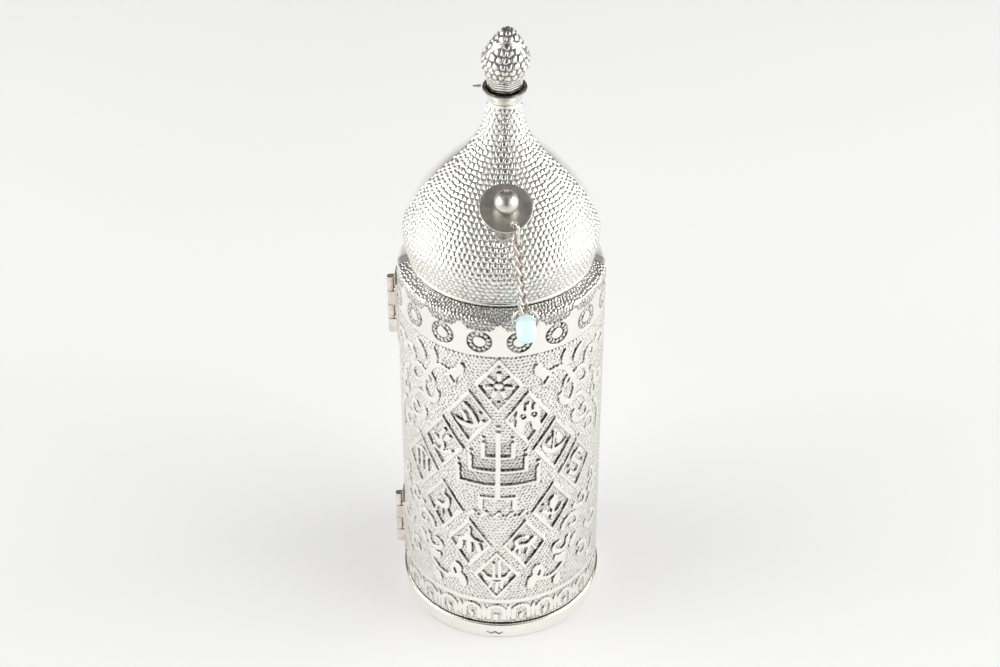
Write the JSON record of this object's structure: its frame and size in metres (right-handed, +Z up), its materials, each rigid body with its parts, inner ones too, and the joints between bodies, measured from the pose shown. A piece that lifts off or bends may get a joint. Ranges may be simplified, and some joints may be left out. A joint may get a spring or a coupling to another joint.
{
  "type": "scroll case",
  "caption": "Domed cylindrical case for a scroll, with an embossed front half that swings on side hinges, a knob on the dome and a glass bead on a chain.",
  "frame": {"origin": "centre of the flat underside, where the case's axis meets the surface it stands on", "axes": "+Z up the case's axis; -Y out of the decorated front; -X towards the hinges"},
  "size_m": [0.0694, 0.0766, 0.2171],
  "materials": {
    "silver_plate": "polished silver plate over sheet metal, embossed, with dark oxide in the recesses",
    "dull_nickel": "turned nickel silver, dull on the disc and polished on the ball",
    "nickel_wire": "plated wire and hinge stock, lightly tarnished",
    "turquoise_glass": "translucent moulded glass"
  },
  "bodies": {
    "rear_half": {"closing_lip": "silver_plate", "collar_peg": "nickel_wire", "lower_hinge_pin": "nickel_wire", "lower_hinge_rear_leaf": "nickel_wire", "rear_bud": "silver_plate", "rear_collar": "silver_plate", "rear_dome": "silver_plate", "rear_floor": "silver_plate", "rear_foot_rim": "silver_plate", "rear_shell": "silver_plate", "upper_hinge_pin": "nickel_wire", "upper_hinge_rear_leaf": "nickel_wire"},
    "front_half": {"front_bud": "silver_plate", "front_collar": "silver_plate", "front_dome": "silver_plate", "front_floor": "silver_plate", "front_foot_rim": "silver_plate", "front_shell": "silver_plate", "knob_ball": "dull_nickel", "knob_disc": "dull_nickel", "knob_post": "dull_nickel", "lower_hinge_front_leaf": "nickel_wire", "upper_hinge_front_leaf": "nickel_wire"},
    "jump_link": {"jump_link": "nickel_wire"},
    "chain_link_1": {"chain_link_1": "nickel_wire"},
    "chain_link_2": {"chain_link_2": "nickel_wire"},
    "chain_link_3": {"chain_link_3": "nickel_wire"},
    "chain_link_4": {"chain_link_4": "nickel_wire"},
    "chain_link_5": {"chain_link_5": "nickel_wire"},
    "chain_link_6": {"chain_link_6": "nickel_wire"},
    "chain_link_7": {"chain_link_7": "nickel_wire"},
    "bead_ring": {"bead_ring": "nickel_wire"},
    "glass_bead": {"glass_bead": "turquoise_glass"}
  },
  "joints": [
    {"name": "front_half_hinge", "type": "hinge", "parent": "rear_half", "child": "front_half", "pos_m": [-0.0348, -0.00035, 0], "axis": [0, 0, -1], "range_deg": [0, 175]},
    {"name": "jump_link_swing", "type": "hinge", "parent": "front_half", "child": "jump_link", "pos_m": [0.00439, -0.03863, 0.17424], "axis": [0.8766, 0.4812, 0], "range_deg": [-15, 2]},
    {"name": "chain_link_1_swing", "type": "hinge", "parent": "jump_link", "child": "chain_link_1", "pos_m": [0.00444, -0.03863, 0.16864], "axis": [0, 1, 0], "range_deg": [-25, 25]},
    {"name": "chain_link_2_swing", "type": "hinge", "parent": "chain_link_1", "child": "chain_link_2", "pos_m": [0.00478, -0.03863, 0.16503], "axis": [1, 0, 0], "range_deg": [-25, 1]},
    {"name": "chain_link_3_swing", "type": "hinge", "parent": "chain_link_2", "child": "chain_link_3", "pos_m": [0.00512, -0.03863, 0.16143], "axis": [0, 1, 0], "range_deg": [-25, 25]},
    {"name": "chain_link_4_swing", "type": "hinge", "parent": "chain_link_3", "child": "chain_link_4", "pos_m": [0.00546, -0.03863, 0.15783], "axis": [1, 0, 0], "range_deg": [-25, 1]},
    {"name": "chain_link_5_swing", "type": "hinge", "parent": "chain_link_4", "child": "chain_link_5", "pos_m": [0.0058, -0.03863, 0.15422], "axis": [0, 1, 0], "range_deg": [-25, 25]},
    {"name": "chain_link_6_swing", "type": "hinge", "parent": "chain_link_5", "child": "chain_link_6", "pos_m": [0.00614, -0.03863, 0.15062], "axis": [1, 0, 0], "range_deg": [-25, 1]},
    {"name": "chain_link_7_swing", "type": "hinge", "parent": "chain_link_6", "child": "chain_link_7", "pos_m": [0.00648, -0.03863, 0.14701], "axis": [0, 1, 0], "range_deg": [-25, 25]},
    {"name": "bead_ring_swing", "type": "hinge", "parent": "chain_link_7", "child": "bead_ring", "pos_m": [0.00682, -0.03863, 0.14341], "axis": [1, 0, 0], "range_deg": [-25, 3]},
    {"name": "glass_bead_spin", "type": "hinge", "parent": "bead_ring", "child": "glass_bead", "pos_m": [0.00744, -0.03863, 0.13686], "axis": [0.9956, 0, 0.0941], "continuous": true}
  ]
}
